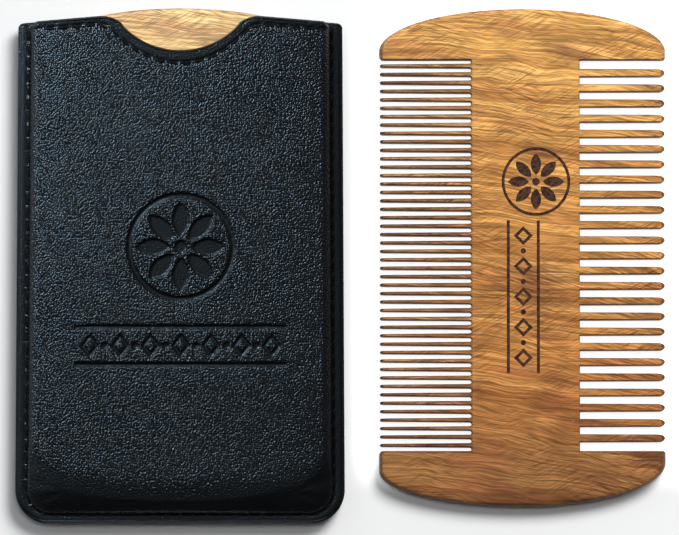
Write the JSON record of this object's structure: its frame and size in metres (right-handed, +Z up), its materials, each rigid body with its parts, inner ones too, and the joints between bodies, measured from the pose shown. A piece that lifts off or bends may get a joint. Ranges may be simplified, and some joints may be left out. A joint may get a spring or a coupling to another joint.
{
  "type": "beard comb",
  "caption": "Double-sided wooden beard comb with fine and coarse teeth, shown inside its stitched leather slip sleeve and again bare beside it.",
  "frame": {"origin": "on the table plane, at the middle of the footprint of the set (sleeve plus the comb beside it), both lying flat", "axes": "+Z is up from the table, +Y runs toward the sleeve's open mouth and the combs' upper ends, +X runs from the sleeve to the loose comb"},
  "size_m": [0.138, 0.1094, 0.0075],
  "materials": {
    "comb_wood": "oiled, satin, open pores",
    "black_leather": "pebble-grained, semi-matte",
    "lining_cloth": "matte brushed microfibre",
    "sewing_thread": "twisted polyester thread"
  },
  "bodies": {
    "sleeve": {"front_leather_panel": "black_leather", "front_lining": "lining_cloth", "back_lining": "lining_cloth", "back_leather_panel": "black_leather", "perimeter_needle_thread": "sewing_thread", "perimeter_bobbin_thread": "sewing_thread", "front_mouth_needle_thread": "sewing_thread", "front_mouth_bobbin_thread": "sewing_thread", "back_mouth_needle_thread": "sewing_thread", "back_mouth_bobbin_thread": "sewing_thread"},
    "comb_in_sleeve": {"sleeved_comb": "comb_wood"},
    "comb_beside": {"loose_comb": "comb_wood"}
  },
  "joints": [
    {"name": "comb_slide", "type": "slide", "parent": "sleeve", "child": "comb_in_sleeve", "axis": [0, 1, 0], "range_m": [0, 0.115]},
    {"name": "loose_comb_lift", "type": "slide", "parent": "sleeve", "child": "comb_beside", "axis": [0, 0, 1], "range_m": [0, 0.05]}
  ]
}
